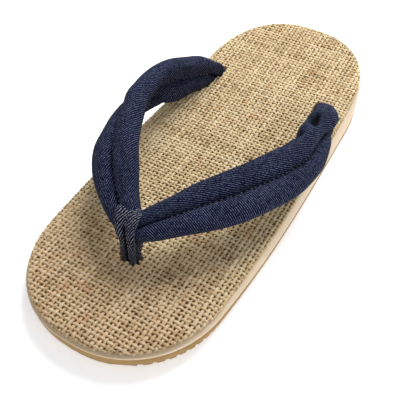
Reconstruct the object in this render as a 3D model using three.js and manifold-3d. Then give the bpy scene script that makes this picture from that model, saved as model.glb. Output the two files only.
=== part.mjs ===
// Thong sandal: ribbed rubber outsole, foam wedge midsole, jute-covered footbed,
// padded denim strap and a denim toe loop. Millimetres, +Z up, toe towards -Y, heel towards +Y,
// origin on the floor under the middle of the sole's outline.

import * as THREE from 'three';
import { mergeVertices } from 'three/addons/utils/BufferGeometryUtils.js';
import Module from 'manifold-3d';

// Driving dimensions of the sole's outline
const footbedLength = 250;
const toeHalfWidth = 43.1;
const heelHalfWidth = 46.1;
const sideBulge = 5.5;
const bulgeForward = 2.3;
const toeRoundLength = 46;
const toeRoundPower = 2.3;
const heelRoundLength = 55;
const heelRoundPower = 2.4;

// Driving dimensions of the sole's side: heights above the floor at mid length and how they change
const footbedHeight = 16.3;
const footbedSlope = 0.065;
const footbedDish = 0.00032;
const footbedThickness = 2.6;
const outsoleMidThickness = 2.7;
const outsoleToeGuard = 6.0;
const toeGuardStart = -25;
const outsoleHeelGuard = 1.6;
const heelGuardStart = 50;
const guardPower = 1.6;
const toeSpring = 2.2;
const toeSpringStart = -72;
const heelLift = 1.0;
const heelLiftStart = 108;
const springPower = 2;
const ribPitch = 4.2;
const ribLand = 2.3;
const ribDraft = 0.45;
const ribDepth = 1.2;
const tipSteps = [0, 0.25, 0.8, 1.7, 3.0];
const soleStations = 56;
const clearance = 0.3;

// The walls of the sole's layers, from the bottom up: grow = how far the wall stands out from the
// footbed's outline, share = how far up its layer, drop = depth below the footbed's top.
const outsoleWall = [
  { grow: -0.3, share: 0 },
  { grow: 0.5, share: 0.7 },
  { grow: 0.3, share: 1 },
];
const midsoleWall = [
  { grow: 0.2, share: 0 },
  { grow: 0.7, share: 0.3 },
  { grow: 0.6, share: 0.75 },
  { grow: -0.5, share: 1 },
];
const footbedEdge = [
  { grow: -0.8, drop: footbedThickness },
  { grow: 0, drop: 1.9 },
  { grow: -0.3, drop: 1.0 },
  { grow: -1.1, drop: 0.35 },
  { grow: -2.6, drop: 0 },
];

// Strap and toe loop
const strapRingPoints = 22;
const strapGrooveTop = 0.34;
const strapGrooveUnder = 0.3;
const strapGroovePower = 1.6;
const loopRingPoints = 20;
const loopWidthPower = 0.7;
const loopDepthPower = 0.8;
const stepsPerRow = 2;

// One row for each section of a strap branch, from its end inside the sole to the front of the foot:
// out = distance out from the middle line, along = place along the sole, up = height above the footbed,
// roll = degrees that the seam's face leans outwards, width and thick = size of the padded section.
const leftRows = [
  { out: 34.0, along: 62.5, up: -6.5, roll: 90, width: 13.0, thick: 5.6 },
  { out: 34.9, along: 57.8, up: -1.8, roll: 90, width: 13.4, thick: 6.0 },
  { out: 36.4, along: 52.2, up: 3.6, roll: 90, width: 16.0, thick: 6.9 },
  { out: 39.0, along: 43.5, up: 9.0, roll: 88, width: 20.2, thick: 9.3 },
  { out: 42.5, along: 31.0, up: 13.4, roll: 85, width: 23.6, thick: 10.3 },
  { out: 45.1, along: 16.0, up: 19.2, roll: 80, width: 25.6, thick: 10.5 },
  { out: 45.2, along: 1.0, up: 23.3, roll: 73, width: 24.4, thick: 10.7 },
  { out: 43.1, along: -14.0, up: 25.9, roll: 60, width: 22.8, thick: 10.9 },
  { out: 38.1, along: -27.8, up: 27.0, roll: 42, width: 21.8, thick: 10.9 },
  { out: 32.7, along: -41.8, up: 26.4, roll: 27, width: 23.8, thick: 10.9 },
  { out: 24.9, along: -53.3, up: 24.2, roll: 17, width: 23.4, thick: 10.7 },
  { out: 15.7, along: -63.2, up: 21.0, roll: 12, width: 18.9, thick: 10.3 },
  { out: 6.7, along: -70.3, up: 17.8, roll: 9, width: 14.4, thick: 9.3 },
  { out: 0.5, along: -74.2, up: 15.8, roll: 6, width: 10.0, thick: 7.5 },
];
const rightRows = [
  { out: 31.6, along: 60.0, up: -6.5, roll: 90, width: 14.4, thick: 6.0 },
  { out: 34.6, along: 55.6, up: -1.5, roll: 88, width: 15.6, thick: 7.5 },
  { out: 39.0, along: 49.0, up: 4.0, roll: 82, width: 17.0, thick: 10.9 },
  { out: 42.5, along: 41.0, up: 8.9, roll: 73, width: 18.7, thick: 11.7 },
  { out: 44.2, along: 31.0, up: 12.2, roll: 62, width: 21.9, thick: 11.5 },
  { out: 45.6, along: 17.5, up: 14.3, roll: 54, width: 22.3, thick: 10.9 },
  { out: 45.7, along: 3.4, up: 15.4, roll: 47, width: 23.3, thick: 10.9 },
  { out: 42.3, along: -10.6, up: 17.7, roll: 39, width: 25.2, thick: 11.1 },
  { out: 36.8, along: -24.0, up: 19.3, roll: 31, width: 25.3, thick: 11.1 },
  { out: 29.8, along: -37.0, up: 20.2, roll: 25, width: 25.3, thick: 11.1 },
  { out: 21.5, along: -48.8, up: 20.3, roll: 20, width: 23.2, thick: 10.9 },
  { out: 13.5, along: -59.2, up: 19.5, roll: 16, width: 18.7, thick: 10.5 },
  { out: 5.5, along: -68.0, up: 17.8, roll: 12, width: 15.4, thick: 9.5 },
  { out: 0.0, along: -73.0, up: 15.8, roll: 8, width: 11.5, thick: 7.5 },
];

// One row for each level of the toe loop, from its end inside the sole to its top: up = height above the
// footbed, aside = place across the sole, along = place along it, depth = front to back, width = side to side.
const loopRows = [
  { up: -4.5, aside: -1.0, along: -77.1, depth: 5.6, width: 7.6 },
  { up: 0.0, aside: -1.0, along: -77.1, depth: 5.8, width: 7.8 },
  { up: 3.5, aside: -1.0, along: -76.9, depth: 6.4, width: 7.8 },
  { up: 7.0, aside: -1.1, along: -76.2, depth: 8.4, width: 8.2 },
  { up: 10.5, aside: -1.6, along: -75.0, depth: 11.6, width: 8.8 },
  { up: 14.5, aside: -2.4, along: -73.4, depth: 14.2, width: 9.8 },
  { up: 19.0, aside: -3.4, along: -71.8, depth: 15.2, width: 11.4 },
  { up: 23.0, aside: -4.0, along: -70.8, depth: 13.0, width: 12.2 },
  { up: 25.4, aside: -4.2, along: -70.6, depth: 6.6, width: 11.0 },
];

const wasm = await Module();
wasm.setup();

function footbedTop(y) {
  return footbedHeight + footbedSlope * y + footbedDish * y * y;
}

// How far something has risen at y: nothing at start, amount at end, and a little more just past it.
function rise(y, start, end, amount, power) {
  return amount * Math.max(0, (y - start) / (end - start)) ** power;
}

function outsoleTop(y) {
  const half = footbedLength / 2;
  const toe = rise(y, toeGuardStart, -half, outsoleToeGuard, guardPower);
  const heel = rise(y, heelGuardStart, half, outsoleHeelGuard, guardPower);
  return outsoleMidThickness + toe + heel;
}

function soleBottom(y) {
  const half = footbedLength / 2;
  const toe = rise(y, toeSpringStart, -half, toeSpring, springPower);
  const heel = rise(y, heelLiftStart, half, heelLift, springPower);
  return toe + heel;
}

function halfWidth(y) {
  const share = THREE.MathUtils.clamp(y / footbedLength + 0.5, 0, 1);
  const hump = 4 * share * (1 - share);
  const plain = toeHalfWidth * (1 - share) + heelHalfWidth * share;
  const full = plain + hump * (sideBulge - bulgeForward * (2 * share - 1) * 2);
  const toeShare = Math.max(0, (toeRoundLength - share * footbedLength) / toeRoundLength);
  const heelShare = Math.max(0, (heelRoundLength - (1 - share) * footbedLength) / heelRoundLength);
  const toeRound = (1 - toeShare ** toeRoundPower) ** (1 / toeRoundPower);
  const heelRound = (1 - heelShare ** heelRoundPower) ** (1 / heelRoundPower);
  return full * toeRound * heelRound;
}

// The right half of the outline at the given stations, moved outwards by grow along its normal.
function outlineHalf(stations, grow) {
  const half = footbedLength / 2;
  const step = 0.02;
  const narrowest = 0.4;
  return stations.map((y, i) => {
    if (i === 0 || i === stations.length - 1) {
      return { x: 0, y: y + Math.sign(y) * grow };
    }
    const before = Math.max(y - step, -half);
    const after = Math.min(y + step, half);
    const normal = new THREE.Vector2(after - before, halfWidth(before) - halfWidth(after)).normalize();
    return { x: Math.max(halfWidth(y) + grow * normal.x, narrowest), y: y + grow * normal.y };
  });
}

// Stations that crowd towards the round ends.
function smoothStations(count) {
  const half = footbedLength / 2;
  return Array.from({ length: count + 1 }, (_, i) => -half * Math.cos(Math.PI * i / count));
}

// A closed solid from levels stacked between a bottom and a top surface. Each level is a half outline with a
// height at every station, and is mirrored to the left side.
function stackedSole(levels) {
  const count = levels[0].points.length;
  const positions = [];
  const index = [];
  const rightOf = (level, i) => level * 2 * count + i;
  const leftOf = (level, i) => level * 2 * count + count + i;
  for (const level of levels) {
    for (const side of [1, -1]) {
      level.points.forEach((point, i) => {
        positions.push(side * point.x, point.y, level.height(point.y, i));
      });
    }
  }
  const quad = (a, b, c, d) => index.push(a, b, c, a, c, d);
  for (let i = 0; i < count - 1; i += 1) {
    for (let level = 0; level < levels.length - 1; level += 1) {
      quad(rightOf(level, i), rightOf(level, i + 1), rightOf(level + 1, i + 1), rightOf(level + 1, i));
      quad(leftOf(level, i + 1), leftOf(level, i), leftOf(level + 1, i), leftOf(level + 1, i + 1));
    }
    const top = levels.length - 1;
    quad(leftOf(0, i), leftOf(0, i + 1), rightOf(0, i + 1), rightOf(0, i));
    quad(rightOf(top, i), rightOf(top, i + 1), leftOf(top, i + 1), leftOf(top, i));
  }
  return closedGeometry(positions, index);
}

// Welds shared points and drops the triangles that this closes up.
function closedGeometry(positions, index) {
  const loose = new THREE.BufferGeometry();
  loose.setAttribute('position', new THREE.Float32BufferAttribute(positions, 3));
  loose.setIndex(index);
  const weldDistance = 1e-4;
  const welded = mergeVertices(loose, weldDistance);
  const kept = [];
  const old = welded.index.array;
  for (let i = 0; i < old.length; i += 3) {
    const [a, b, c] = [old[i], old[i + 1], old[i + 2]];
    if (a !== b && b !== c && c !== a) {
      kept.push(a, b, c);
    }
  }
  welded.setIndex(kept);
  return welded;
}

function solidOf(geometry) {
  return new wasm.Manifold(new wasm.Mesh({
    numProp: 3,
    vertProperties: new Float32Array(geometry.attributes.position.array),
    triVerts: new Uint32Array(geometry.index.array),
  }));
}

function geometryOf(solid) {
  const mesh = solid.getMesh();
  const geometry = new THREE.BufferGeometry();
  geometry.setAttribute('position', new THREE.Float32BufferAttribute(mesh.vertProperties, 3));
  geometry.setIndex(Array.from(mesh.triVerts));
  return geometry;
}

// A closed solid from rings of equal length, with a fan over each end.
function loftRings(rings) {
  const count = rings[0].length;
  const positions = rings.flat().flatMap((point) => [point.x, point.y, point.z]);
  const index = [];
  for (let k = 0; k < rings.length - 1; k += 1) {
    for (let i = 0; i < count; i += 1) {
      const j = (i + 1) % count;
      const [a, b] = [k * count + i, k * count + j];
      const [c, d] = [(k + 1) * count + j, (k + 1) * count + i];
      index.push(a, b, c, a, c, d);
    }
  }
  for (const [k, first] of [[0, true], [rings.length - 1, false]]) {
    const middle = new THREE.Vector3();
    rings[k].forEach((point) => middle.add(point));
    middle.divideScalar(count);
    const centre = positions.length / 3;
    positions.push(middle.x, middle.y, middle.z);
    for (let i = 0; i < count; i += 1) {
      const [a, b] = [k * count + i, k * count + (i + 1) % count];
      index.push(centre, first ? b : a, first ? a : b);
    }
  }
  return closedGeometry(positions, index);
}

// Rows between the given ones, on a smooth curve through every column.
function smoothRows(rows, steps) {
  const names = Object.keys(rows[0]);
  const at = (i) => rows[THREE.MathUtils.clamp(i, 0, rows.length - 1)];
  const out = [];
  for (let i = 0; i < rows.length - 1; i += 1) {
    for (let step = 0; step < steps; step += 1) {
      const t = step / steps;
      const [a, b, c, d] = [at(i - 1), at(i), at(i + 1), at(i + 2)];
      out.push(Object.fromEntries(names.map((name) => {
        const slopeB = (c[name] - a[name]) / 2;
        const slopeC = (d[name] - b[name]) / 2;
        const value = (2 * t ** 3 - 3 * t ** 2 + 1) * b[name] + (t ** 3 - 2 * t ** 2 + t) * slopeB
          + (3 * t ** 2 - 2 * t ** 3) * c[name] + (t ** 3 - t ** 2) * slopeC;
        return [name, value];
      })));
    }
  }
  out.push(rows[rows.length - 1]);
  return out;
}

// The padded section: two round lobes side by side with a seam groove on both faces.
// Across runs from the inner or upper lobe to the outer or lower one; out is the seam's face.
function lobedSection(width, thick) {
  return Array.from({ length: strapRingPoints }, (_, i) => {
    const angle = 2 * Math.PI * i / strapRingPoints;
    const across = Math.cos(angle);
    const side = Math.sign(Math.sin(angle));
    const groove = side > 0 ? strapGrooveTop : strapGrooveUnder;
    const fromSeam = Math.abs(across) * 2;
    const full = fromSeam > 1
      ? Math.sqrt(Math.max(0, 1 - (fromSeam - 1) ** 2))
      : 1 - groove * (1 - fromSeam) ** strapGroovePower;
    return { across: across * width / 2, out: side * full * thick / 2 };
  });
}

// One branch of the strap. Side is 1 on the right and -1 on the left; grow makes the cutter for its pocket.
function strapBranch(rows, side, grow) {
  const sections = smoothRows(rows, stepsPerRow);
  const centres = sections.map((row) => (
    new THREE.Vector3(side * row.out, row.along, footbedTop(row.along) + row.up)
  ));
  const rings = sections.map((row, k) => {
    const last = centres.length - 1;
    const run = new THREE.Vector3().subVectors(centres[Math.min(k + 1, last)], centres[Math.max(k - 1, 0)]);
    run.normalize();
    const outward = new THREE.Vector3(side, 0, 0);
    outward.addScaledVector(run, -outward.dot(run)).normalize();
    const upward = new THREE.Vector3().crossVectors(run, outward).multiplyScalar(side);
    const roll = THREE.MathUtils.degToRad(row.roll);
    const face = outward.clone().multiplyScalar(Math.sin(roll)).addScaledVector(upward, Math.cos(roll));
    const across = new THREE.Vector3().crossVectors(face, run).multiplyScalar(side);
    const centre = centres[k].clone();
    if (k === 0 || k === last) {
      centre.addScaledVector(run, k === 0 ? -grow : grow);
    }
    const section = lobedSection(row.width + 2 * grow, row.thick + 2 * grow);
    const ring = section.map((point) => (
      centre.clone().addScaledVector(across, point.across).addScaledVector(face, point.out)
    ));
    return side > 0 ? ring : ring.reverse();
  });
  return solidOf(loftRings(rings));
}

function strapSolid(grow) {
  return strapBranch(leftRows, -1, grow).add(strapBranch(rightRows, 1, grow));
}

// The toe loop before the strap is taken out of it: round-cornered levels that follow loopRows.
function loopSolid(grow) {
  const rings = smoothRows(loopRows, stepsPerRow).map((row, k) => {
    const z = footbedTop(row.along) + row.up - (k === 0 ? grow : 0);
    return Array.from({ length: loopRingPoints }, (_, i) => {
      const angle = 2 * Math.PI * i / loopRingPoints;
      const [c, s] = [Math.cos(angle), Math.sin(angle)];
      const x = Math.sign(c) * Math.abs(c) ** loopWidthPower * (row.width / 2 + grow);
      const y = Math.sign(s) * Math.abs(s) ** loopDepthPower * (row.depth / 2 + grow);
      return new THREE.Vector3(row.aside + x, row.along + y, z);
    });
  });
  return solidOf(loftRings(rings));
}

// Outsole: the ribs run across the sole, so each rib is four stations along it.
function outsoleGeometry() {
  const half = footbedLength / 2;
  const tip = tipSteps.map((step) => half - step);
  const stations = tip.map((y) => -y);
  const ribbedHalf = half - tipSteps[tipSteps.length - 1] - ribLand / 2;
  const ribCount = 2 * Math.floor(ribbedHalf / ribPitch);
  const firstRib = -ribCount * ribPitch / 2;
  const depths = stations.map(() => 0);
  for (let rib = 0; rib < ribCount; rib += 1) {
    const start = firstRib + rib * ribPitch + ribLand / 2;
    const grooveWidth = ribPitch - ribLand;
    stations.push(start, start + ribDraft, start + grooveWidth - ribDraft, start + grooveWidth);
    depths.push(0, ribDepth, ribDepth, 0);
  }
  stations.push(...tip.reverse());
  depths.push(...tip.map(() => 0));
  return stackedSole(outsoleWall.map(({ grow, share }) => ({
    points: outlineHalf(stations, grow),
    height: (y, i) => THREE.MathUtils.lerp(soleBottom(y), outsoleTop(y), share) + (share === 0 ? depths[i] : 0),
  })));
}

function midsoleGeometry() {
  const stations = smoothStations(soleStations);
  const base = (y) => outsoleTop(y) + clearance;
  const underFootbed = (y) => footbedTop(y) - footbedThickness - clearance;
  return stackedSole(midsoleWall.map(({ grow, share }) => ({
    points: outlineHalf(stations, grow),
    height: (y) => THREE.MathUtils.lerp(base(y), underFootbed(y), share),
  })));
}

function footbedGeometry() {
  const stations = smoothStations(soleStations);
  return stackedSole(footbedEdge.map(({ grow, drop }) => ({
    points: outlineHalf(stations, grow),
    height: (y) => footbedTop(y) - drop,
  })));
}

function piece(name, geometry, color, roughness) {
  const material = new THREE.MeshStandardMaterial({ color, roughness, metalness: 0 });
  const mesh = new THREE.Mesh(geometry, material);
  mesh.name = name;
  return mesh;
}

const strap = strapSolid(0);
const strapCutter = strapSolid(clearance);
const loopCutter = loopSolid(clearance);
const holes = strapCutter.add(loopCutter);

const sandal = new THREE.Group();
sandal.add(piece('outsole', outsoleGeometry(), 0xaa8250, 0.75));
sandal.add(piece('midsole', geometryOf(solidOf(midsoleGeometry()).subtract(holes)), 0xf3dcbe, 0.7));
sandal.add(piece('footbed', geometryOf(solidOf(footbedGeometry()).subtract(holes)), 0xcdb487, 0.9));
sandal.add(piece('strap', geometryOf(strap), 0x262c4b, 0.85));
sandal.add(piece('toe_loop', geometryOf(loopSolid(0).subtract(strapCutter)), 0x343a55, 0.85));

export default sandal;
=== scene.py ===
import math

import bmesh
import bpy
import numpy as np
from mathutils import Matrix, Vector
from mathutils.bvhtree import BVHTree


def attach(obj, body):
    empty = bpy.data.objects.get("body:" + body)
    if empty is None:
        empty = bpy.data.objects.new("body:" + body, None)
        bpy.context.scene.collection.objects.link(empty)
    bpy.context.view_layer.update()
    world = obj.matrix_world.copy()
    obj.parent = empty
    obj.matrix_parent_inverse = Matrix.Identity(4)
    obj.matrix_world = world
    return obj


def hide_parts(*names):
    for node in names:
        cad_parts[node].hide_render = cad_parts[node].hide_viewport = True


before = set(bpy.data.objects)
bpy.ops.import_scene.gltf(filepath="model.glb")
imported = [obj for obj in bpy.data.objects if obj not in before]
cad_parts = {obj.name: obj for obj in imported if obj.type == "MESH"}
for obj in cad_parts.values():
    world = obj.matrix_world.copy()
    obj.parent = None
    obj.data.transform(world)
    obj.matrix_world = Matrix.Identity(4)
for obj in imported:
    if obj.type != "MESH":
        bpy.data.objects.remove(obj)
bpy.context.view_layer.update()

# Thong sandal: the toe points to -Y, the heel to +Y, and the floor is z = 0.
# Sizes in the dictionaries are millimetres, and the meshes are in metres.
mm = 0.001
bpy.ops.object.select_all(action="DESELECT")

camera = {
    "place": (110.81, -200.95, 231.61),
    "azimuth": 31.104,    # degrees round from straight in front of the toe
    "elevation": 47.546,
    "roll": 0.399,
    "lens": 52.546,
    "sensor": 36.0,
    "clipStart": 10.0,
}


def addCamera():
    turn = math.radians(camera["azimuth"])
    rise = math.radians(camera["elevation"])
    roll = math.radians(camera["roll"])
    level = math.cos(rise)
    back = Vector((math.sin(turn) * level, -math.cos(turn) * level, math.sin(rise)))
    right = Vector((math.cos(turn), math.sin(turn), 0))
    up = back.cross(right)
    rolledRight = math.cos(roll) * right + math.sin(roll) * up
    rolledUp = math.cos(roll) * up - math.sin(roll) * right
    axes = Matrix((rolledRight, rolledUp, back)).transposed().to_4x4()
    bpy.ops.object.camera_add()
    eye = bpy.context.object
    eye.name = "photoCamera"
    eye.matrix_world = Matrix.Translation(Vector(camera["place"]) * mm) @ axes
    eye.data.lens = camera["lens"]
    eye.data.sensor_width = camera["sensor"]
    eye.data.clip_start = camera["clipStart"] * mm
    bpy.context.scene.camera = eye
    print("camera set")


# The sole's outline and the height of its top, the same sizes as the solids
sole = {
    "length": 250.0,
    "toeHalfWidth": 43.1,
    "heelHalfWidth": 46.1,
    "sideBulge": 5.5,
    "bulgeForward": 2.3,
    "toeRoundLength": 46.0,
    "toeRoundPower": 2.3,
    "heelRoundLength": 55.0,
    "heelRoundPower": 2.4,
    "topHeight": 16.3,
    "topSlope": 0.065,
    "topDish": 0.00032,
}


def topHeight(y):
    return sole["topHeight"] + sole["topSlope"] * y + sole["topDish"] * y * y


def halfWidth(y):
    share = np.clip(y / sole["length"] + 0.5, 0, 1)
    hump = 4 * share * (1 - share)
    plain = sole["toeHalfWidth"] * (1 - share) + sole["heelHalfWidth"] * share
    full = plain + hump * (sole["sideBulge"] - sole["bulgeForward"] * (2 * share - 1) * 2)
    toe = np.clip(1 - share * sole["length"] / sole["toeRoundLength"], 0, 1)
    heel = np.clip(1 - (1 - share) * sole["length"] / sole["heelRoundLength"], 0, 1)
    toeRound = (1 - toe ** sole["toeRoundPower"]) ** (1 / sole["toeRoundPower"])
    heelRound = (1 - heel ** sole["heelRoundPower"]) ** (1 / sole["heelRoundPower"])
    return full * toeRound * heelRound


def outlineRing(stations=260):
    y = -sole["length"] / 2 * np.cos(np.linspace(0, np.pi, stations))
    right = np.column_stack([halfWidth(y), y])
    left = np.column_stack([-halfWidth(y), y])[::-1]
    return np.concatenate([right[:-1], left[:-1]])


outline = outlineRing()


def nearestOnOutline(points):
    # nearest place on the outline, direction out of it, and how far inside it each point is
    along = np.roll(outline, -1, axis=0) - outline
    lengths = (along ** 2).sum(1) + 1e-12
    foot = np.empty_like(points)
    outward = np.empty_like(points)
    inside = np.empty(len(points))
    batch = 3000    # points at a time, to keep the tables small
    for first in range(0, len(points), batch):
        some = points[first:first + batch]
        gap = some[:, None] - outline
        share = np.clip((gap * along).sum(2) / lengths, 0, 1)
        off = gap - along * share[..., None]
        best = (off ** 2).sum(2).argmin(1)
        rows = np.arange(len(some))
        step = along[best] / np.sqrt(lengths[best])[:, None]
        out = np.column_stack([step[:, 1], -step[:, 0]])
        foot[first:first + batch] = outline[best] + along[best] * share[rows, best][:, None]
        outward[first:first + batch] = out
        inside[first:first + batch] = -(off[rows, best] * out).sum(1)
    return foot, outward, inside


# Working with meshes

def pickOnly(piece):
    bpy.ops.object.select_all(action="DESELECT")
    piece.select_set(True)
    bpy.context.view_layer.objects.active = piece


def pointsOf(piece):
    points = np.empty(len(piece.data.vertices) * 3)
    piece.data.vertices.foreach_get("co", points)
    return points.reshape(-1, 3) / mm


def movePoints(piece, points):
    piece.data.vertices.foreach_set("co", (np.asarray(points) * mm).ravel())
    piece.data.update()


def applyModifier(piece, kind, **settings):
    pickOnly(piece)
    modifier = piece.modifiers.new(kind.title(), kind)
    for name, value in settings.items():
        setattr(modifier, name, value)
    bpy.ops.object.modifier_apply(modifier=modifier.name)


def facesOut(piece):
    pickOnly(piece)
    bpy.ops.object.mode_set(mode="EDIT")
    bpy.ops.mesh.select_all(action="SELECT")
    bpy.ops.mesh.normals_make_consistent(inside=False)
    bpy.ops.object.mode_set(mode="OBJECT")


def pointValues(piece, name, values):
    layer = piece.data.attributes.new(name, "FLOAT", "POINT")
    layer.data.foreach_set("value", np.asarray(values, np.float32))


def copyOfNode(node, name):
    piece = bpy.data.objects.new(name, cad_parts[node].data.copy())
    bpy.context.scene.collection.objects.link(piece)
    pickOnly(piece)
    bpy.ops.object.mode_set(mode="EDIT")
    bpy.ops.mesh.select_all(action="SELECT")
    bpy.ops.mesh.remove_doubles(threshold=0.002 * mm)
    bpy.ops.object.mode_set(mode="OBJECT")
    return piece


def colorWith(piece, material):
    piece.data.materials.clear()
    piece.data.materials.append(material)


def dress(piece, material, node=None):
    if material:
        colorWith(piece, material)
    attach(piece, "root")
    if node:
        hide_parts(node)


def smoothNoise(seed, waves, shortest, longest):
    # a smooth random curve as a sum of sines, always the same for the same seed
    draw = np.random.default_rng(seed)
    lengths = draw.uniform(shortest, longest, waves)
    phases = draw.uniform(0, 2 * np.pi, waves)

    def value(place):
        total = sum(np.sin(2 * np.pi * place / length + phase)
                    for length, phase in zip(lengths, phases))
        return total / math.sqrt(waves)

    return value


# Shader maths written as plain sums

class Wire:
    def __init__(self, shader, socket):
        self.shader = shader
        self.socket = socket

    def __add__(self, other):
        return self.shader.math("ADD", self, other)

    def __mul__(self, other):
        return self.shader.math("MULTIPLY", self, other)

    def __sub__(self, other):
        return self.shader.math("SUBTRACT", self, other)

    def __rsub__(self, other):
        return self.shader.math("SUBTRACT", other, self)

    __radd__ = __add__
    __rmul__ = __mul__


class Shader:
    def __init__(self, name):
        self.material = bpy.data.materials.new(name)
        self.material.use_nodes = True
        self.tree = self.material.node_tree
        self.surface = self.tree.nodes["Principled BSDF"]

    def node(self, kind, settings=None, sockets=None, output=0):
        made = self.tree.nodes.new("ShaderNode" + kind)
        for name, value in (settings or {}).items():
            if name == "stops":
                self.setStops(made.color_ramp, value)
            else:
                setattr(made, name, value)
        for name, value in (sockets or {}).items():
            self.feed(made.inputs[name], value)
        return Wire(self, made.outputs[output])

    def setStops(self, ramp, stops):
        while len(ramp.elements) < len(stops):
            ramp.elements.new(0.5)
        for element, (place, color) in zip(ramp.elements, stops):
            element.position = place
            element.color = color

    def feed(self, socket, value):
        if isinstance(value, Wire):
            self.tree.links.new(value.socket, socket)
        else:
            socket.default_value = value

    def math(self, operation, first, second=0.0):
        return self.node("Math", {"operation": operation}, {0: first, 1: second})

    def set(self, **values):
        for name, value in values.items():
            self.feed(self.surface.inputs[name.replace("_", " ")], value)

    def ramp(self, value, stops):
        return self.node("ValToRGB", {"stops": stops}, {0: value})

    def mix(self, share, first, second, blend="MIX"):
        settings = {"data_type": "RGBA", "blend_type": blend}
        return self.node("Mix", settings, {0: share, 6: first, 7: second}, 2)

    def noise(self, vector, scale, detail=3.0, roughness=0.6):
        sockets = {"Vector": vector, "Scale": scale, "Detail": detail, "Roughness": roughness}
        return self.node("TexNoise", None, sockets)

    def bump(self, height, strength, distance):
        sockets = {"Strength": strength, "Distance": distance, "Height": height}
        return self.node("Bump", None, sockets)

    def between(self, value, low, high):
        # 0 below low, 1 above high, smooth from one to the other
        settings = {"interpolation_type": "SMOOTHSTEP"}
        return self.node("MapRange", settings, {0: value, 1: low, 2: high})

    def attribute(self, name):
        return self.node("Attribute", {"attribute_name": name}, None, 2)

    def objectPlace(self):
        return self.node("TexCoord", None, None, 3)

    def combine(self, x, y, z):
        return self.node("CombineXYZ", None, {0: x, 1: y, 2: z})

    def part(self, vector, index):
        # one of the three numbers of a vector
        return self.node("SeparateXYZ", None, {0: vector}, index)

    def gray(self, color):
        return self.node("RGBToBW", None, {0: color})


def paint(red, green, blue):
    # a colour as seen, 0 to 255, to the shader's own scale
    def linear(value):
        value = value / 255
        return value / 12.92 if value <= 0.04045 else ((value + 0.055) / 1.055) ** 2.4

    return (linear(red), linear(green), linear(blue), 1.0)


black = (0, 0, 0, 1)
white = (1, 1, 1, 1)

# The jute yarn: every thread has its own tone, and fibres twist along it

juteLook = {
    "dark": paint(144, 115, 79),
    "middle": paint(221, 194, 149),
    "light": paint(247, 229, 189),
    "darkAt": 0.26,
    "middleAt": 0.48,
    "lightAt": 0.74,
    "toneShare": 0.05,     # what each thing adds to how light the yarn is
    "fibreShare": 0.80,
    "patchShare": 0.22,
    # the crest share adds a painted highlight on the crests of the yarns
    "paintedCrestHighlight": 0.05,
    "fibreScale": 1.6,
    "fibreStretch": 0.35,
    "fibreWraps": 3.0,
    "fibreTwist": 0.55,
    "toneJump": 9.0,       # moves the fibres from one yarn to the next
    "patchScale": 60.0,
    "rusty": paint(200, 142, 88),
    "rustScale": 120.0,
    "rustFrom": 0.60,
    "rustFull": 0.74,
    "rustShare": 0.5,
    "paintedToeShade": paint(236, 229, 228),    # painted shade: darkens the toe end a little and makes it browner
    "paintedToeShadeFrom": -0.04,
    "paintedToeShadeTo": -0.105,
    "backing": paint(158, 126, 86),
    "backingDeep": paint(108, 80, 52),
    "backingScale": 900.0,
}


def juteMaterial(name):
    shader = Shader(name)
    tone = shader.attribute("tone")
    along = shader.attribute("alongYarn")
    around = shader.attribute("aroundYarn")
    twist = around * juteLook["fibreWraps"] + along * juteLook["fibreTwist"]
    stretched = along * juteLook["fibreStretch"]
    fibreSpace = shader.combine(stretched, twist, tone * juteLook["toneJump"])
    fibres = shader.noise(fibreSpace, juteLook["fibreScale"], 4.0, 0.7)
    # painted highlight: the yarns are painted lighter where they rise to a crest
    crest = shader.attribute("crest")
    patches = shader.noise(shader.objectPlace(), juteLook["patchScale"])
    level = (tone * juteLook["toneShare"] + fibres * juteLook["fibreShare"]
             + patches * juteLook["patchShare"] + crest * juteLook["paintedCrestHighlight"])
    stops = [(juteLook[name + "At"], juteLook[name]) for name in ("dark", "middle", "light")]
    straw = shader.ramp(level, stops)
    rust = shader.noise(shader.objectPlace(), juteLook["rustScale"], 2.0, 0.5)
    rustMask = shader.ramp(rust, [(juteLook["rustFrom"], black), (juteLook["rustFull"], white)])
    rustShare = shader.gray(rustMask) * juteLook["rustShare"]
    lengthways = shader.part(shader.objectPlace(), 1)
    # painted shade: the jute is darkened toward the toe
    paintedToeShade = 1 - shader.between(lengthways, juteLook["paintedToeShadeTo"], juteLook["paintedToeShadeFrom"])
    color = shader.mix(rustShare, straw, juteLook["rusty"])
    shader.set(Base_Color=shader.mix(paintedToeShade, color, juteLook["paintedToeShade"], "MULTIPLY"))
    shader.set(Roughness=0.88, Specular_IOR_Level=0.25)
    shader.set(Normal=shader.bump(fibres, 0.9, 0.3 * mm))
    return shader.material


def backingMaterial():
    shader = Shader("juteBacking")
    grain = shader.noise(shader.objectPlace(), juteLook["backingScale"])
    shader.set(Base_Color=shader.mix(grain, juteLook["backingDeep"], juteLook["backing"]))
    shader.set(Roughness=0.95, Specular_IOR_Level=0.1)
    shader.set(Normal=shader.bump(grain, 0.4, 0.2 * mm))
    return shader.material


# Denim: a diagonal twill in the cloth's own UV map, in millimetres along and round the piece

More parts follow.
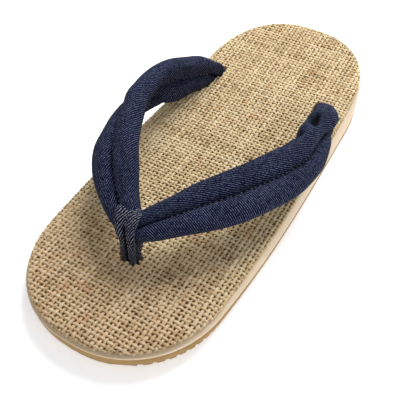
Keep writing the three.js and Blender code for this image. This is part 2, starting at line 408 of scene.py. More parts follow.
denimLook = {
    "warp": paint(4, 6, 24),
    "warpFaded": paint(11, 17, 52),
    "weft": paint(168, 180, 214),
    "weftWorn": paint(196, 196, 200),
    "paintedShade": paint(6, 8, 18),
    "ridge": 0.92,         # from one twill ridge to the next
    "pick": 0.62,          # from one weft dot to the next along a ridge
    "wander": 0.55,        # how far the ridges stray
    "ridgeShare": 0.40,    # what each thing adds to how much weft shows
    "dotShare": 0.16,
    "streakShare": 1.3,
    "grainShare": 1.1,
    "hidden": 1.20,
    "darkAt": 0.18,
    "lightAt": 0.62,
    "streakAlong": 0.9,
    "streakOver": 1.7,
    "grainScale": 1700.0,
    "wornScale": 45.0,
    "creaseScale": 240.0,
    "seamDark": 0.3,       # painted shade: dark up to here from the seam, clear beyond the next
    "seamClear": 1.7,
    "backSeam": 1.25,      # from the seam underneath to each of its two lines of painted shade
    "lineDark": 0.1,
    "lineClear": 0.6,
    "seamFade": 5.0,
    "hollowFrom": 0.22,
    "hollowFull": 0.70,
}


def denimMaterial(name, leans, seamAt, weftShare, weft="weft", seamEnd=1000.0):
    # leans: the twill's angle in degrees to the run of the cloth, before and after the seam,
    # whose painted shade fades out at seamEnd
    shader = Shader(name)
    cloth = shader.node("UVMap", {"uv_map": "UVMap"})
    run = shader.part(cloth, 0)
    across = shader.part(cloth, 1)
    beyond = shader.math("GREATER_THAN", across, seamAt)
    first, second = [math.radians(lean) for lean in leans]
    cos = beyond * (math.cos(second) - math.cos(first)) + math.cos(first)
    sin = beyond * (math.sin(second) - math.sin(first)) + math.sin(first)
    wander = shader.noise(shader.objectPlace(), 140.0, 2.0, 0.5)
    overRidges = across * cos - run * sin + wander * denimLook["wander"]
    alongRidges = run * cos + across * sin
    ridge = shader.math("SINE", overRidges * (2 * math.pi / denimLook["ridge"]))
    picks = alongRidges * (2 * math.pi / denimLook["pick"])
    dots = shader.math("SINE", picks + overRidges * 3.0)
    streakSpace = shader.combine(alongRidges * denimLook["streakAlong"],
                                 overRidges * denimLook["streakOver"], 0.0)
    streaks = shader.noise(streakSpace, 1.0, 3.0, 0.7)
    grain = shader.noise(shader.objectPlace(), denimLook["grainScale"], 2.0)
    weave = (ridge * denimLook["ridgeShare"] + dots * denimLook["dotShare"]
             + streaks * denimLook["streakShare"] + grain * denimLook["grainShare"]
             - denimLook["hidden"])
    stops = [(denimLook["darkAt"], black), (denimLook["lightAt"], white)]
    weftShows = shader.gray(shader.ramp(weave, stops))
    worn = shader.noise(shader.objectPlace(), denimLook["wornScale"], 4.0)
    indigo = shader.mix(worn, denimLook["warp"], denimLook["warpFaded"])
    wornWeft = weftShows * (worn * weftShare + weftShare * 0.5)
    color = shader.mix(wornWeft, indigo, denimLook[weft])
    # painted shade: darker along the top seam, along two lines beside the seam underneath, and in
    # the hollows where the cloth is pushed in
    fromSeam = shader.math("ABSOLUTE", across - seamAt)
    fromBack = shader.math("MINIMUM", across, 2 * seamAt - across)
    fromLine = shader.math("ABSOLUTE", fromBack - denimLook["backSeam"])
    clear = (shader.between(fromSeam, denimLook["seamDark"], denimLook["seamClear"])
             * shader.between(fromLine, denimLook["lineDark"], denimLook["lineClear"]))
    pastSeam = shader.between(run, seamEnd, seamEnd + denimLook["seamFade"])
    clear = shader.math("MAXIMUM", clear, pastSeam)
    shade = shader.part(shader.node("UVMap", {"uv_map": "Hollows"}), 0)
    clear = clear * (1 - shader.between(shade, denimLook["hollowFrom"], denimLook["hollowFull"]))
    shader.set(Base_Color=shader.mix(clear, denimLook["paintedShade"], color))
    shader.set(Roughness=0.9, Specular_IOR_Level=0.08)
    creases = shader.noise(shader.objectPlace(), denimLook["creaseScale"], 3.0, 0.55)
    fine = shader.bump(weave, 0.6, 0.2 * mm)
    sockets = {"Strength": 0.45, "Distance": 0.5 * mm, "Height": creases, "Normal": fine}
    shader.set(Normal=shader.node("Bump", None, sockets))
    return shader.material


threadLook = {
    "dark": paint(58, 64, 84),
    "light": paint(138, 146, 166),
    "scale": 700.0,
}


def threadMaterial():
    shader = Shader("stitchThread")
    shade = shader.noise(shader.objectPlace(), threadLook["scale"], 2.0, 0.5)
    shader.set(Base_Color=shader.mix(shade, threadLook["dark"], threadLook["light"]))
    shader.set(Roughness=0.7)
    return shader.material


# Cut foam with fine pores, and moulded rubber with a dull grain

foamLook = {
    "deep": paint(222, 198, 164),
    "pale": paint(236, 217, 189),
    "grain": paint(206, 174, 138),
    "cloudScale": 60.0,
    "grainScale": 700.0,
    "poreScale": 1500.0,
}
rubberLook = {
    "deep": paint(156, 120, 66),
    "pale": paint(194, 158, 98),
    "grain": paint(132, 96, 56),
    "cloudScale": 80.0,
    "grainScale": 1400.0,
}


def foamMaterial():
    shader = Shader("foamWedge")
    place = shader.objectPlace()
    poreSockets = {"Vector": place, "Scale": foamLook["poreScale"]}
    pores = shader.node("TexVoronoi", {"feature": "F1"}, poreSockets)
    cloudy = shader.noise(place, foamLook["cloudScale"], 4.0)
    grain = shader.noise(place, foamLook["grainScale"], 3.0, 0.7)
    cream = shader.mix(cloudy, foamLook["deep"], foamLook["pale"])
    shader.set(Base_Color=shader.mix(grain * 0.25, cream, foamLook["grain"]))
    shader.set(Roughness=0.62, Specular_IOR_Level=0.35)
    shader.set(Subsurface_Weight=0.08, Subsurface_Scale=2 * mm)
    shader.set(Normal=shader.bump(pores * 0.6 + grain * 0.5, 0.22, 0.25 * mm))
    return shader.material


def rubberMaterial():
    shader = Shader("tanRubber")
    place = shader.objectPlace()
    cloudy = shader.noise(place, rubberLook["cloudScale"], 4.0)
    grain = shader.noise(place, rubberLook["grainScale"], 2.0)
    tan = shader.mix(cloudy, rubberLook["deep"], rubberLook["pale"])
    shader.set(Base_Color=shader.mix(grain * 0.3, tan, rubberLook["grain"]))
    shader.set(Roughness=0.6 + grain * 0.2, Specular_IOR_Level=0.4)
    shader.set(Normal=shader.bump(grain * 0.6 + cloudy * 0.4, 0.25, 0.3 * mm))
    return shader.material


# Sole layers: the solids' own forms with softened edges

outsole = {
    "bevel": 0.22,
    "bevelSteps": 2,
    "bevelAngle": 32,     # edges sharper than this, in degrees, are softened
    "smoothAngle": 40,
}
midsole = {
    "bevel": 0.5,
    "bevelSteps": 3,
    "bevelAngle": 50,
    "smoothAngle": 45,
}


def addSoleLayer(node, name, layer, material):
    piece = copyOfNode(node, name)
    applyModifier(piece, "BEVEL", width=layer["bevel"] * mm, segments=layer["bevelSteps"],
                  angle_limit=math.radians(layer["bevelAngle"]))
    bpy.ops.object.shade_smooth_by_angle(angle=math.radians(layer["smoothAngle"]))
    dress(piece, material, node)
    print(node, "finished")


# Footbed: a board drawn in under the cover, and the cover woven from single yarns

cover = {
    "pitch": 2.27,
    "turn": 0.016,         # radians that the weave is turned on the board
    "warpHalfWidth": 0.84,
    "weftHalfWidth": 0.70,
    "warpHalfThick": 0.44,
    "weftHalfThick": 0.35,
    "crimp": 0.34,         # how far a yarn rises and falls
    "middle": -0.72,       # the cover's middle, from the footbed's surface
    "fullness": 0.08,      # spread of the yarns' widths
    "slubWide": 0.08,      # share that slow and quick swellings add to the width and the thickness
    "lumpWide": 0.17,
    "slubThick": 0.1,
    "lumpThick": 0.05,
    "sway": 0.16,
    "jitter": 0.11,
    "boardInset": 1.35,
    "boardSink": 0.6,      # share of that by which the whole board is shrunk
    "edgeBand": 6.0,       # the cover starts to turn down within this of the outline
    "endsStart": 92.0,
    "yarnSides": 6,
    "stepsPerPitch": 3,
    "warps": 47,
    "warpLength": 262.0,
    "wefts": 116,
    "weftLength": 108.0,
    "holeGap": 0.65,       # yarns stop this far from the strap and the loop
    "holeReach": 7.0,      # half the widest part that goes through a hole
    "smoothAngle": 80,
}

# How the cover goes round the footbed's edge: run = length of cloth from where it leaves the top,
# inset and drop = place from the outline and the top, outward and upward = where the surface faces
edgeRun = (-1.2, 0.0, 1.54, 2.57, 3.52, 4.58)
edgeInset = (3.8, 2.6, 1.1, 0.3, 0.0, 0.8)
edgeDrop = (0.0, 0.0, 0.35, 1.0, 1.9, 2.6)
edgeOutward = (0.0, 0.12, 0.42, 0.8, 1.0, 0.75)
edgeUpward = (1.0, 0.99, 0.9, 0.6, 0.0, -0.65)


def onFootbed(x, y, lift):
    # places on the cover's cloth, laid over the board and round its edge, and which are past it
    flat = np.column_stack([x, y])
    slope = sole["topSlope"] + 2 * sole["topDish"] * y
    normal = np.column_stack([np.zeros_like(y), -slope, np.ones_like(y)])
    normal /= np.linalg.norm(normal, axis=1)[:, None]
    place = np.column_stack([x, y, topHeight(y)])
    nearEdge = (np.abs(x) > halfWidth(y) - cover["edgeBand"]) | (np.abs(y) > cover["endsStart"])
    foot, outward, inside = nearestOnOutline(flat[nearEdge])
    run = edgeInset[1] - inside
    inset = np.where(run < 0, inside, np.interp(run, edgeRun, edgeInset))
    moved = foot - outward * inset[:, None]
    height = topHeight(moved[:, 1]) - np.interp(run, edgeRun, edgeDrop)
    place[nearEdge] = np.column_stack([moved, height])
    side = np.interp(run, edgeRun, edgeOutward)
    turned = normal[nearEdge] * np.interp(run, edgeRun, edgeUpward)[:, None]
    turned[:, :2] += outward * side[:, None]
    normal[nearEdge] = turned / np.linalg.norm(turned, axis=1)[:, None]
    off = np.zeros(len(x), bool)
    off[nearEdge] = run > edgeRun[-1]
    return place + normal * lift[:, None], off


def addBoard():
    piece = copyOfNode("footbed", "footbedBoard")
    bpy.ops.object.mode_set(mode="EDIT")
    bpy.ops.mesh.select_all(action="SELECT")
    bpy.ops.transform.shrink_fatten(value=-cover["boardInset"] * mm * cover["boardSink"])
    bpy.ops.object.mode_set(mode="OBJECT")
    points = pointsOf(piece)
    foot, outward, inside = nearestOnOutline(points[:, :2])
    tooNear = inside < cover["boardInset"]
    drawn = foot - outward * cover["boardInset"]
    points[tooNear, :2] = drawn[tooNear]
    points[:, 2] = np.minimum(points[:, 2], topHeight(points[:, 1]) - cover["boardInset"])
    movePoints(piece, points)
    dress(piece, backingMaterial(), "footbed")
    print("board drawn in")


def trimYarns(piece, drop):
    # takes away the dropped points and closes the yarns' cut ends
    shaped = bmesh.new()
    shaped.from_mesh(piece.data)
    shaped.verts.ensure_lookup_table()
    dropped = [shaped.verts[i] for i in np.flatnonzero(drop)]
    bmesh.ops.delete(shaped, geom=dropped, context="VERTS")
    loose = [vert for vert in shaped.verts if not vert.link_faces]
    bmesh.ops.delete(shaped, geom=loose, context="VERTS")
    cut = [edge for edge in shaped.edges if edge.is_boundary]
    bmesh.ops.holes_fill(shaped, edges=cut, sides=cover["yarnSides"])
    shaped.to_mesh(piece.data)
    shaped.free()


def weaveYarns(name, count, length, lengthwise, seed, obstacles, material):
    # one short link of yarn, repeated along its length and across the cover, then laid in place
    pitch = cover["pitch"]
    step = pitch / cover["stepsPerPitch"]
    links = int(length / step)
    bpy.ops.mesh.primitive_cylinder_add(vertices=cover["yarnSides"], radius=0.2 * pitch * mm,
                                        depth=step * mm, end_fill_type="NOTHING",
                                        rotation=(math.pi / 2, 0, 0))
    piece = bpy.context.object
    piece.name = name
    bpy.ops.object.transform_apply(location=True, rotation=True, scale=True)
    applyModifier(piece, "ARRAY", count=links, use_relative_offset=False, use_constant_offset=True,
                  constant_offset_displace=(0, step * mm, 0), use_merge_vertices=True,
                  merge_threshold=0.01 * mm)
    applyModifier(piece, "ARRAY", count=count, use_relative_offset=False, use_constant_offset=True,
                  constant_offset_displace=(pitch * mm, 0, 0))
    points = pointsOf(piece)
    thread = np.round(points[:, 0] / pitch).astype(int)
    angle = np.arctan2(points[:, 2], points[:, 0] - thread * pitch)
    ring = np.round((points[:, 1] + step / 2) / step).astype(int)
    along = (ring - links / 2) * step
    middle = thread - (count - 1) // 2
    draw = np.random.default_rng(seed)
    tones = draw.normal(0, 1, count)
    fullness = draw.normal(1.0, cover["fullness"], count)
    starts = draw.uniform(0, 4000, count)[thread]
    slub = smoothNoise(seed + 1, 7, 9, 60)(along + starts)
    lumps = smoothNoise(seed + 2, 5, 3, 9)(along + starts)
    sway = smoothNoise(seed + 3, 5, 18, 70)(along + starts)
    jitter = smoothNoise(seed + 4, 5, 4, 9)(along + starts)
    kind = "warp" if lengthwise else "weft"
    width = cover[kind + "HalfWidth"] * fullness[thread]
    width = width * (1 + cover["slubWide"] * slub + cover["lumpWide"] * lumps)
    thick = cover[kind + "HalfThick"]
    thick = thick * (1 + cover["slubThick"] * slub + cover["lumpThick"] * lumps)
    phase = along / pitch + middle + (0 if lengthwise else 1)
    rise = cover["crimp"] * np.cos(math.pi * phase)
    lateral = middle * pitch + cover["sway"] * sway + cover["jitter"] * jitter
    sides = lateral + np.cos(angle) * width
    height = cover["middle"] + rise + np.sin(angle) * thick
    cos, sin = math.cos(cover["turn"]), math.sin(cover["turn"])
    clothX, clothY = (sides, along) if lengthwise else (along, sides)
    x = clothX * cos - clothY * sin
    y = clothX * sin + clothY * cos
    placed, off = onFootbed(x, y, height)
    centreX, centreY = (lateral, along) if lengthwise else (along, lateral)
    centres, centreOff = onFootbed(centreX * cos - centreY * sin, centreX * sin + centreY * cos,
                                   cover["middle"] + rise)
    off |= centreOff
    ringId = thread * (links + 2) + ring
    firstOfRing = np.unique(ringId, return_index=True)[1]
    hidden = set()
    for index in firstOfRing:
        if off[index] or insideAny(centres[index], obstacles):
            hidden.add(int(ringId[index]))
    drop = np.isin(ringId, list(hidden)) | np.isin(ringId, np.unique(ringId[off]))
    movePoints(piece, placed)
    pointValues(piece, "tone", tones[thread] + 0.8 * slub + 0.5 * lumps)
    pointValues(piece, "alongYarn", along + thread * 37.0)
    pointValues(piece, "aroundYarn", angle / (2 * math.pi))
    # how high the yarn rises here, which the jute material turns into a painted highlight
    pointValues(piece, "crest", rise / cover["crimp"])
    trimYarns(piece, drop)
    facesOut(piece)
    bpy.ops.object.shade_smooth_by_angle(angle=math.radians(cover["smoothAngle"]))
    dress(piece, material)
    print(name, len(piece.data.polygons), "faces")


def wallsAhead(tree, here):
    # how often a slanting line from here goes through the piece: an odd number means inside it
    way = Vector((0.36, 0.48, 0.8))
    count = 0
    hit = tree.ray_cast(here, way)[0]
    while hit:
        count += 1
        hit = tree.ray_cast(hit + way * 0.01 * mm, way)[0]
    return count


def insideAny(point, obstacles):
    here = Vector(point) * mm
    for tree in obstacles:
        distance = tree.find_nearest(here, cover["holeReach"] * mm)[3]
        if distance is None:
            continue
        if distance < cover["holeGap"] * mm or wallsAhead(tree, here) % 2:
            return True
    return False


# Strap and toe loop: a flat sheet of cloth rolled up into a padded section along its route

def smoothRows(rows, steps):
    table = np.array(rows, float)
    ends = np.vstack([table[0], table, table[-1]])
    out = []
    for i in range(1, len(table)):
        a, b, c, d = ends[i - 1], ends[i], ends[i + 1], ends[i + 2]
        for step in range(steps):
            t = step / steps
            out.append((2 * t ** 3 - 3 * t ** 2 + 1) * b + (t ** 3 - 2 * t ** 2 + t) * (c - a) / 2
                       + (3 * t ** 2 - 2 * t ** 3) * c + (t ** 3 - t ** 2) * (d - b) / 2)
    out.append(table[-1])
    return np.array(out)


def unit(vectors):
    return vectors / np.linalg.norm(vectors, axis=1)[:, None]


strap = {
    "around": 128,
    "stepsPerRow": 16,
    "web": 0.6,           # half thickness left at the seam
    "webReach": 1.5,
    "lobePower": 2.5,
    "lobeMiddle": 0.25,   # share of the width from the seam to the middle of each lobe
    "swell": 0.035,
    "swellDrift": 40.0,
    "puckerDepth": 0.35,
    "puckerReach": 3.2,
    "weftShare": 0.40,    # how much of the pale weft shows
    "smoothAngle": 75,
    "stitchStart": 18.0,
    "stitchEnd": 16.0,
    "stitchPitch": 2.6,
    "stitchLift": 1.45,
    "stitchSize": (0.70, 0.45, 0.40),   # half sizes along, across and out of the seam
    "hollowDepth": 5.2,   # cloth pushed in this far is black with shade
}

# out, along, up, roll, width, thick of each section, from inside the sole to the front
leftBranch = (
    (34.0, 62.5, -6.5, 90, 13.0, 5.6),
    (34.9, 57.8, -1.8, 90, 13.4, 6.0),
    (36.4, 52.2, 3.6, 90, 16.0, 7.4),
    (39.0, 43.5, 9.0, 88, 20.2, 9.8),
    (42.5, 31.0, 13.4, 85, 23.6, 10.8),
    (45.1, 16.0, 19.2, 80, 25.6, 11.0),
    (45.2, 1.0, 23.3, 73, 24.4, 11.2),
    (43.1, -14.0, 25.9, 60, 22.8, 11.4),
    (38.1, -27.8, 27.0, 42, 21.8, 11.4),
    (32.7, -41.8, 26.4, 27, 23.8, 11.4),
    (24.9, -53.3, 24.2, 17, 23.4, 11.2),
    (15.7, -63.2, 21.0, 12, 18.9, 10.8),
    (6.7, -70.3, 17.8, 9, 14.4, 9.8),
    (0.5, -74.2, 15.8, 6, 10.0, 8.0),
)
rightBranch = (
    (31.6, 60.0, -6.5, 90, 14.4, 6.0),
    (34.6, 55.6, -1.5, 88, 15.6, 8.0),
    (39.0, 49.0, 4.0, 82, 17.0, 11.4),
    (42.5, 41.0, 8.9, 73, 18.7, 12.2),
    (44.2, 31.0, 12.2, 62, 21.9, 12.0),
    (45.6, 17.5, 14.3, 54, 22.3, 11.4),
    (45.7, 3.4, 15.4, 47, 23.3, 11.4),
    (42.3, -10.6, 17.7, 39, 25.2, 11.6),
    (36.8, -24.0, 19.3, 31, 25.3, 11.6),
    (29.8, -37.0, 20.2, 25, 25.3, 11.6),
    (21.5, -48.8, 20.3, 20, 23.2, 11.4),
    (13.5, -59.2, 19.5, 16, 18.7, 11.0),
    (5.5, -68.0, 17.8, 12, 15.4, 10.0),
    (0.0, -73.0, 15.8, 8, 11.5, 8.0),
)


def lengthsAlong(centres):
    steps = np.linalg.norm(np.diff(centres, axis=0), axis=1)
    return np.concatenate([[0], np.cumsum(steps)])


def squareTo(run, x):
    # the sideways direction, made square to the route
    sideways = np.tile([x, 0, 0], (len(run), 1))
    return unit(sideways - run * (sideways * run).sum(1)[:, None])


def branchRoute(rows, side):
    # centres, directions across and out, width, thickness and length so far, for each section
    out, along, up, roll, width, thick = smoothRows(rows, strap["stepsPerRow"]).T
    centres = np.column_stack([side * out, along, topHeight(along) + up])
    run = unit(np.gradient(centres, axis=0))
    outward = squareTo(run, float(side))
    upward = np.cross(run, outward) * side
    angle = np.radians(roll)[:, None]
    face = outward * np.sin(angle) + upward * np.cos(angle)
    across = np.cross(face, run) * side
    return centres, across, face, width, thick, lengthsAlong(centres)


def lobes(count):
    # from the seam underneath, round the first lobe, over the seam on top, round the second lobe
    half = count // 2
    turn = np.arange(half) / half * 2 * np.pi
    power = 2 / strap["lobePower"]
    middle = strap["lobeMiddle"]
    spread = -np.sign(np.cos(turn)) * np.abs(np.cos(turn)) ** power
    bulge = -np.sign(np.sin(turn)) * np.abs(np.sin(turn)) ** power
    first = np.column_stack([middle + middle * spread, 0.5 * bulge])
    second = np.column_stack([-first[:, 0], -first[:, 1]])
    return np.concatenate([first, second, first[:1]])


def girthOf(section, width, thick):
    # how far round the section each of its points is, in millimetres of a middling section
    steps = np.diff(section, axis=0) * (width.mean(), thick.mean())
    return np.concatenate([[0], np.cumsum(np.hypot(steps[:, 0], steps[:, 1]))])


def rolledSheet(name, section, route, web, shapeCloth):
    # section: closed row of (across, out) shares of the width and the thickness
    centres, across, face, width, thick, lengths = route
    around, stations = len(section) - 1, len(centres) - 1
    bpy.ops.mesh.primitive_grid_add(x_subdivisions=around, y_subdivisions=stations, size=2 * mm,
                                    calc_uvs=True)
    piece = bpy.context.object
    piece.name = name
    flat = pointsOf(piece)
    i = np.round((flat[:, 0] + 1) / 2 * around).astype(int)
    k = np.round((flat[:, 1] + 1) / 2 * stations).astype(int)
    sideways = section[i, 0] * width[k]
    rise = section[i, 1] * thick[k]
    webShare = np.exp(-(sideways / strap["webReach"]) ** 2)
    rise = np.sign(section[i, 1] + 1e-9) * np.sqrt(rise ** 2 + web ** 2 * webShare)
    sideways, rise, push = shapeCloth(i / around, lengths[k], sideways, rise, width[k])
    points = centres[k] + across[k] * sideways[:, None] + face[k] * rise[:, None]
    movePoints(piece, points)
    loopVerts = np.empty(len(piece.data.loops), int)
    piece.data.loops.foreach_get("vertex_index", loopVerts)
    girth = girthOf(section, width, thick)
    cloth = np.column_stack([lengths[k], girth[i]])[loopVerts]
    piece.data.uv_layers["UVMap"].data.foreach_set("uv", cloth.ravel())
    # how far the cloth is pushed in, which the denim turns into painted shade in the hollows
    shade = np.clip(-push / strap["hollowDepth"], 0, 1)[loopVerts]
    hollows = piece.data.uv_layers.new(name="Hollows")
    hollows.data.foreach_set("uv", np.repeat(shade, 2))
    pickOnly(piece)
    bpy.ops.object.mode_set(mode="EDIT")
    bpy.ops.mesh.select_all(action="SELECT")
    bpy.ops.mesh.remove_doubles(threshold=0.003 * mm)
    bpy.ops.mesh.select_all(action="SELECT")
    bpy.ops.mesh.fill_holes(sides=0)
    bpy.ops.mesh.select_all(action="SELECT")
    bpy.ops.mesh.normals_make_consistent(inside=False)
    bpy.ops.object.mode_set(mode="OBJECT")
    bpy.ops.object.shade_smooth_by_angle(angle=math.radians(strap["smoothAngle"]))
    return piece


# Soft troughs and ridges: share round the section, millimetres along the route,
# reach round and along, and how far in (less than 0) or out
leftCreases = (
    (0.10, 64.0, 0.045, 6.0, -3.0),
    (0.80, 83.0, 0.05, 4.0, -1.4),
    (0.17, 42.0, 0.08, 10.0, 1.3),
    (0.20, 10.0, 0.10, 6.0, -1.6),
    (0.05, 10.0, 0.07, 5.0, -0.6),
    (0.82, 9.0, 0.05, 4.0, 1.8),
    (0.20, 54.0, 0.03, 3.0, -1.2),
    (0.90, 60.0, 0.06, 9.0, -0.8),
    (0.33, 70.0, 0.05, 5.0, -0.8),
    (0.64, 84.0, 0.05, 6.0, 1.0),
    (0.77, 97.5, 0.04, 4.0, -1.5),
    (0.70, 122.0, 0.06, 9.0, -0.6),
    (0.36, 138.0, 0.05, 5.0, -0.7),
)
rightCreases = (
    (0.745, 38.4, 0.055, 4.4, -6.0),
    (0.695, 42.8, 0.036, 3.2, -4.8),
    (0.76, 48.4, 0.05, 2.6, 0.2),
    (0.78, 54.5, 0.045, 3.2, -4.8),
    (0.86, 44.0, 0.05, 5.0, 0.9),
    (0.70, 25.5, 0.05, 5.0, -3.2),
    (0.60, 27.0, 0.09, 6.0, 1.4),
    (0.56, 33.0, 0.06, 6.0, 2.0),
    (0.38, 30.0, 0.10, 7.0, -2.6),
    (0.30, 40.0, 0.07, 9.0, -1.8),
    (0.42, 56.0, 0.05, 6.0, -0.8),
    (0.30, 66.0, 0.05, 7.0, -0.6),
    (0.64, 104.0, 0.06, 12.0, -0.6),
    (0.36, 124.0, 0.05, 7.0, -0.6),
)
loopCreases = (
    (0.50, 25.0, 0.030, 7.0, -0.9),
    (0.46, 27.5, 0.030, 3.0, 0.6),
    (0.56, 30.5, 0.08, 1.3, -0.7),
    (0.55, 33.0, 0.09, 1.1, 0.5),
    (0.38, 18.0, 0.04, 5.0, -0.5),
    (0.62, 14.0, 0.05, 4.0, -0.5),
)


def pressed(creases, share, along, sideways, rise, middle):
    # pushes the cloth in or out, straight away from the middle of its own lobe
    reach = np.hypot(sideways - middle, rise) + 1e-6
    outSideways, outRise = (sideways - middle) / reach, rise / reach
    push = np.zeros(len(share))
    for place, where, aroundReach, alongReach, depth in creases:
        gap = np.abs(share - place)
        gap = np.minimum(gap, 1 - gap)
        push += depth * np.exp(-(gap / aroundReach) ** 2 - ((along - where) / alongReach) ** 2)
    return sideways + outSideways * push, rise + outRise * push, push


def puffed(creases, seed):
    swell = smoothNoise(seed, 5, 22, 60)
    pucker = smoothNoise(seed + 1, 6, 3.5, 8)
    drift = smoothNoise(seed + 2, 4, 0.3, 0.9)

    def shapeCloth(share, along, sideways, rise, width):
        strength = np.exp(-(sideways / strap["puckerReach"]) ** 2)
        rise = rise * (1 + strap["swell"] * swell(along + strap["swellDrift"] * drift(share)))
        rise = rise + np.sign(rise) * strap["puckerDepth"] * strength * pucker(along)
        middle = np.where(share < 0.5, strap["lobeMiddle"], -strap["lobeMiddle"]) * width
        return pressed(creases, share, along, sideways, rise, middle)

    return shapeCloth


# side: which way is out; leans: the twill's angles on the two lobes, in degrees
branches = {
    "strapLeft": {
        "rows": leftBranch, "side": -1, "creases": leftCreases, "leans": (-40, -40), "seed": 11,
    },
    "strapRight": {
        "rows": rightBranch, "side": 1, "creases": rightCreases, "leans": (72, 27), "seed": 23,
    },
}


def addStrap():
    pieces = []
    routes = []
    section = lobes(strap["around"])
    for name, branch in branches.items():
        route = branchRoute(branch["rows"], branch["side"])
        cloth = puffed(branch["creases"], branch["seed"])
        piece = rolledSheet(name, section, route, strap["web"], cloth)
        width, thick = route[3:5]
        seamAt = girthOf(section, width, thick)[strap["around"] // 2]
        denim = denimMaterial(name + "Denim", branch["leans"], seamAt, strap["weftShare"])
        colorWith(piece, denim)
        pieces.append(piece)
        routes.append(route)
    left, right = pieces
    applyModifier(left, "BOOLEAN", operation="UNION", object=right, solver="EXACT",
                  material_mode="TRANSFER")
    bpy.data.objects.remove(right)
    left.name = "strapDenim"
    dress(left, None, "strap")
    print("strap sewn", len(left.data.polygons), "faces")
    return left, routes


def addStitches(routes):
    bpy.ops.mesh.primitive_uv_sphere_add(segments=8, ring_count=5, radius=1)
    stitch = bpy.context.object
    unitBall = np.array([vert.co for vert in stitch.data.vertices])
    long, wide, high = strap["stitchSize"]
    copies = []
    for centres, across, face, width, thick, lengths in routes:
        for where in np.arange(strap["stitchStart"], lengths[-1] - strap["stitchEnd"],
                               strap["stitchPitch"]):
            k = int(np.searchsorted(lengths, where))
            run = np.cross(across[k], face[k])
            for seamSide in (1, -1):
                base = centres[k] + face[k] * seamSide * (strap["web"] + strap["stitchLift"])
                points = base + (unitBall[:, :1] * run * long + unitBall[:, 1:2] * across[k] * wide
                                 + unitBall[:, 2:] * face[k] * high)
                copy = bpy.data.objects.new("stitch", stitch.data.copy())
                bpy.context.scene.collection.objects.link(copy)
                movePoints(copy, points)
                copies.append(copy)
    bpy.data.objects.remove(stitch)
    bpy.ops.object.select_all(action="DESELECT")
    for copy in copies:
        copy.select_set(True)
    bpy.context.view_layer.objects.active = copies[0]
    bpy.ops.object.join()
    piece = bpy.context.object
    piece.name = "seamStitches"
    facesOut(piece)
    bpy.ops.object.shade_smooth()
    dress(piece, threadMaterial())
    print("seams stitched", len(copies), "stitches")


toeLoop = {
    "around": 48,
    "stepsPerRow": 8,
    "lean": -27,
    "widthPower": 0.6,    # how square the flattened band is
    "thickPower": 0.7,
    "foldDepth": 0.85,    # share of the band's thickness
    "foldReach": 0.55,    # millimetres to each side
    "foldEnd": 22.0,      # the fold closes after this much of the band
    "foldClose": 7.0,
    "plySwell": 0.25,
    "crumpleUp": 0.16,
    "crumpleAside": 0.12,
    "weftShare": 0.70,
}

# along, height, aside, width, thick of the band, from the front of the hole over the strap
# and back down into it
loopRoute = (
    (-78.6, 8.6, -1.3, 8.2, 2.6),
    (-78.7, 12.8, -1.3, 8.2, 2.6),
    (-78.7, 17.0, -1.2, 8.3, 2.5),
    (-78.7, 20.5, -1.0, 8.4, 2.7),
    (-78.4, 24.5, -1.1, 8.7, 3.3),
    (-78.0, 29.0, -1.6, 9.4, 3.5),
    (-76.9, 32.6, -2.7, 11.0, 3.0),
    (-74.9, 35.1, -3.5, 12.2, 2.6),
    (-72.2, 36.7, -4.1, 12.8, 1.6),
    (-68.9, 36.2, -4.6, 12.4, 1.6),
    (-66.2, 34.2, -4.3, 11.6, 1.8),
    (-65.0, 31.0, -3.6, 10.8, 2.0),
    (-65.8, 27.0, -2.6, 9.8, 2.2),
    (-69.0, 23.4, -1.6, 8.8, 2.4),
    (-72.4, 20.3, -1.0, 7.8, 2.6),
    (-74.4, 17.0, -0.7, 7.2, 2.8),
    (-75.2, 12.8, -0.7, 7.0, 2.8),
    (-75.4, 8.6, -0.7, 7.0, 2.8),
)


def bandSection(count):
    # a flattened band, from the middle of its underside round and back
    turn = np.arange(count) / count * 2 * np.pi - np.pi / 2
    sideways = 0.5 * np.sign(np.cos(turn)) * np.abs(np.cos(turn)) ** toeLoop["widthPower"]
    rise = 0.5 * np.sign(np.sin(turn)) * np.abs(np.sin(turn)) ** toeLoop["thickPower"]
    section = np.column_stack([sideways, rise])
    return np.concatenate([section, section[:1]])


def addToeLoop():
    along, height, aside, width, thick = smoothRows(loopRoute, toeLoop["stepsPerRow"]).T
    centres = np.column_stack([aside, along, height])
    run = unit(np.gradient(centres, axis=0))
    across = squareTo(run, 1.0)
    face = np.cross(run, across) * -1
    route = (centres, across, face, width, thick, lengthsAlong(centres))
    crumple = smoothNoise(41, 6, 4, 14)
    drift = smoothNoise(42, 4, 0.25, 0.8)

    def shapeCloth(share, place, sideways, rise, width):
        # one long fold: a groove between two soft plies on the outer face, closing toward the top
        folded = 1 - np.clip((place - toeLoop["foldEnd"]) / toeLoop["foldClose"], 0, 1)
        groove = toeLoop["foldDepth"] * (np.exp(-(sideways / toeLoop["foldReach"]) ** 2) * folded)
        plies = 1 + toeLoop["plySwell"] * np.sin(np.abs(sideways / width) * 2 * np.pi) * folded
        rise = np.where(rise > 0, rise * (1 - groove) * plies, rise)
        rise = rise + toeLoop["crumpleUp"] * crumple(place + 9 * drift(share))
        sideways = sideways + toeLoop["crumpleAside"] * crumple(place + 30)
        return pressed(loopCreases, share, place, sideways, rise, 0.0)

    section = bandSection(toeLoop["around"])
    piece = rolledSheet("toeLoopDenim", section, route, 0.0, shapeCloth)
    # the loop has no seam: this marks the groove of its fold, which the denim darkens with painted
    # shade up to foldEnd
    seamAt = girthOf(section, width, thick)[toeLoop["around"] // 2]
    leans = (toeLoop["lean"], toeLoop["lean"])
    material = denimMaterial("loopDenim", leans, seamAt, toeLoop["weftShare"], "weftWorn",
                             toeLoop["foldEnd"])
    dress(piece, material, "toe_loop")
    print("toe loop folded")
    return piece


# Floor and light

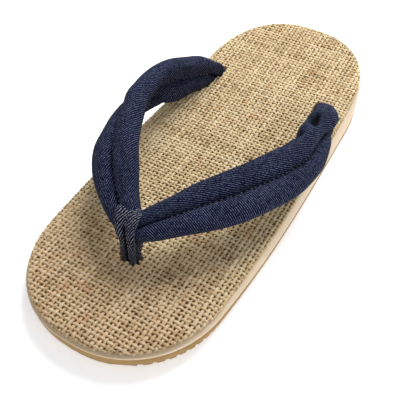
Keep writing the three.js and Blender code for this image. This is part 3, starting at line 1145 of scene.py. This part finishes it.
studio = {
    "floor": paint(250, 250, 250),
    "floorSize": 8000.0,
    "floorDrop": 0.02,
    "glow": 0.44,
    "glowColor": (0.95, 0.97, 1.0, 1),
    "key": ((-60, 600, 700), 540, 9.4),       # place, size and watts
    "fill": ((560, -380, 520), 600, 1.4),
    "sky": 0.36,
    "skyColor": (0.93, 0.96, 1.0, 1),
}


def addLight(name, place, size, watts):
    # a round soft light, turned to the middle of the floor
    bpy.ops.object.light_add(type="AREA", location=Vector(place) * mm)
    light = bpy.context.object
    light.name = name
    light.data.shape = "DISK"
    light.data.size = size * mm
    light.data.energy = watts
    light.rotation_mode = "QUATERNION"
    light.rotation_quaternion = (-light.location).to_track_quat("-Z", "Y")


def addStudio():
    place = (0, 0, -studio["floorDrop"] * mm)
    bpy.ops.mesh.primitive_plane_add(size=studio["floorSize"] * mm, location=place)
    floor = bpy.context.object
    floor.name = "studioFloor"
    bpy.ops.object.transform_apply(location=True, rotation=True, scale=True)
    shader = Shader("paleFloor")
    shader.set(Base_Color=studio["floor"], Roughness=0.7, Specular_IOR_Level=0.1)
    shader.set(Emission_Color=studio["glowColor"], Emission_Strength=studio["glow"])
    floor.data.materials.append(shader.material)
    addLight("keyLight", *studio["key"])
    addLight("fillLight", *studio["fill"])
    world = bpy.data.worlds.new("paleRoom")
    world.use_nodes = True
    background = world.node_tree.nodes["Background"]
    background.inputs["Color"].default_value = studio["skyColor"]
    background.inputs["Strength"].default_value = studio["sky"]
    bpy.context.scene.world = world
    bpy.context.scene.view_settings.view_transform = "Standard"
    print("studio lit")


addCamera()
addSoleLayer("outsole", "outsoleRubber", outsole, rubberMaterial())
addSoleLayer("midsole", "midsoleFoam", midsole, foamMaterial())
strapPiece, branchRoutes = addStrap()
addStitches(branchRoutes)
loopPiece = addToeLoop()
addBoard()
graph = bpy.context.evaluated_depsgraph_get()
throughHoles = [BVHTree.FromObject(strapPiece, graph), BVHTree.FromObject(loopPiece, graph)]
yarn = juteMaterial("juteYarn")
weaveYarns("juteWarp", cover["warps"], cover["warpLength"], True, 101, throughHoles, yarn)
weaveYarns("juteWeft", cover["wefts"], cover["weftLength"], False, 202, throughHoles, yarn)
addStudio()
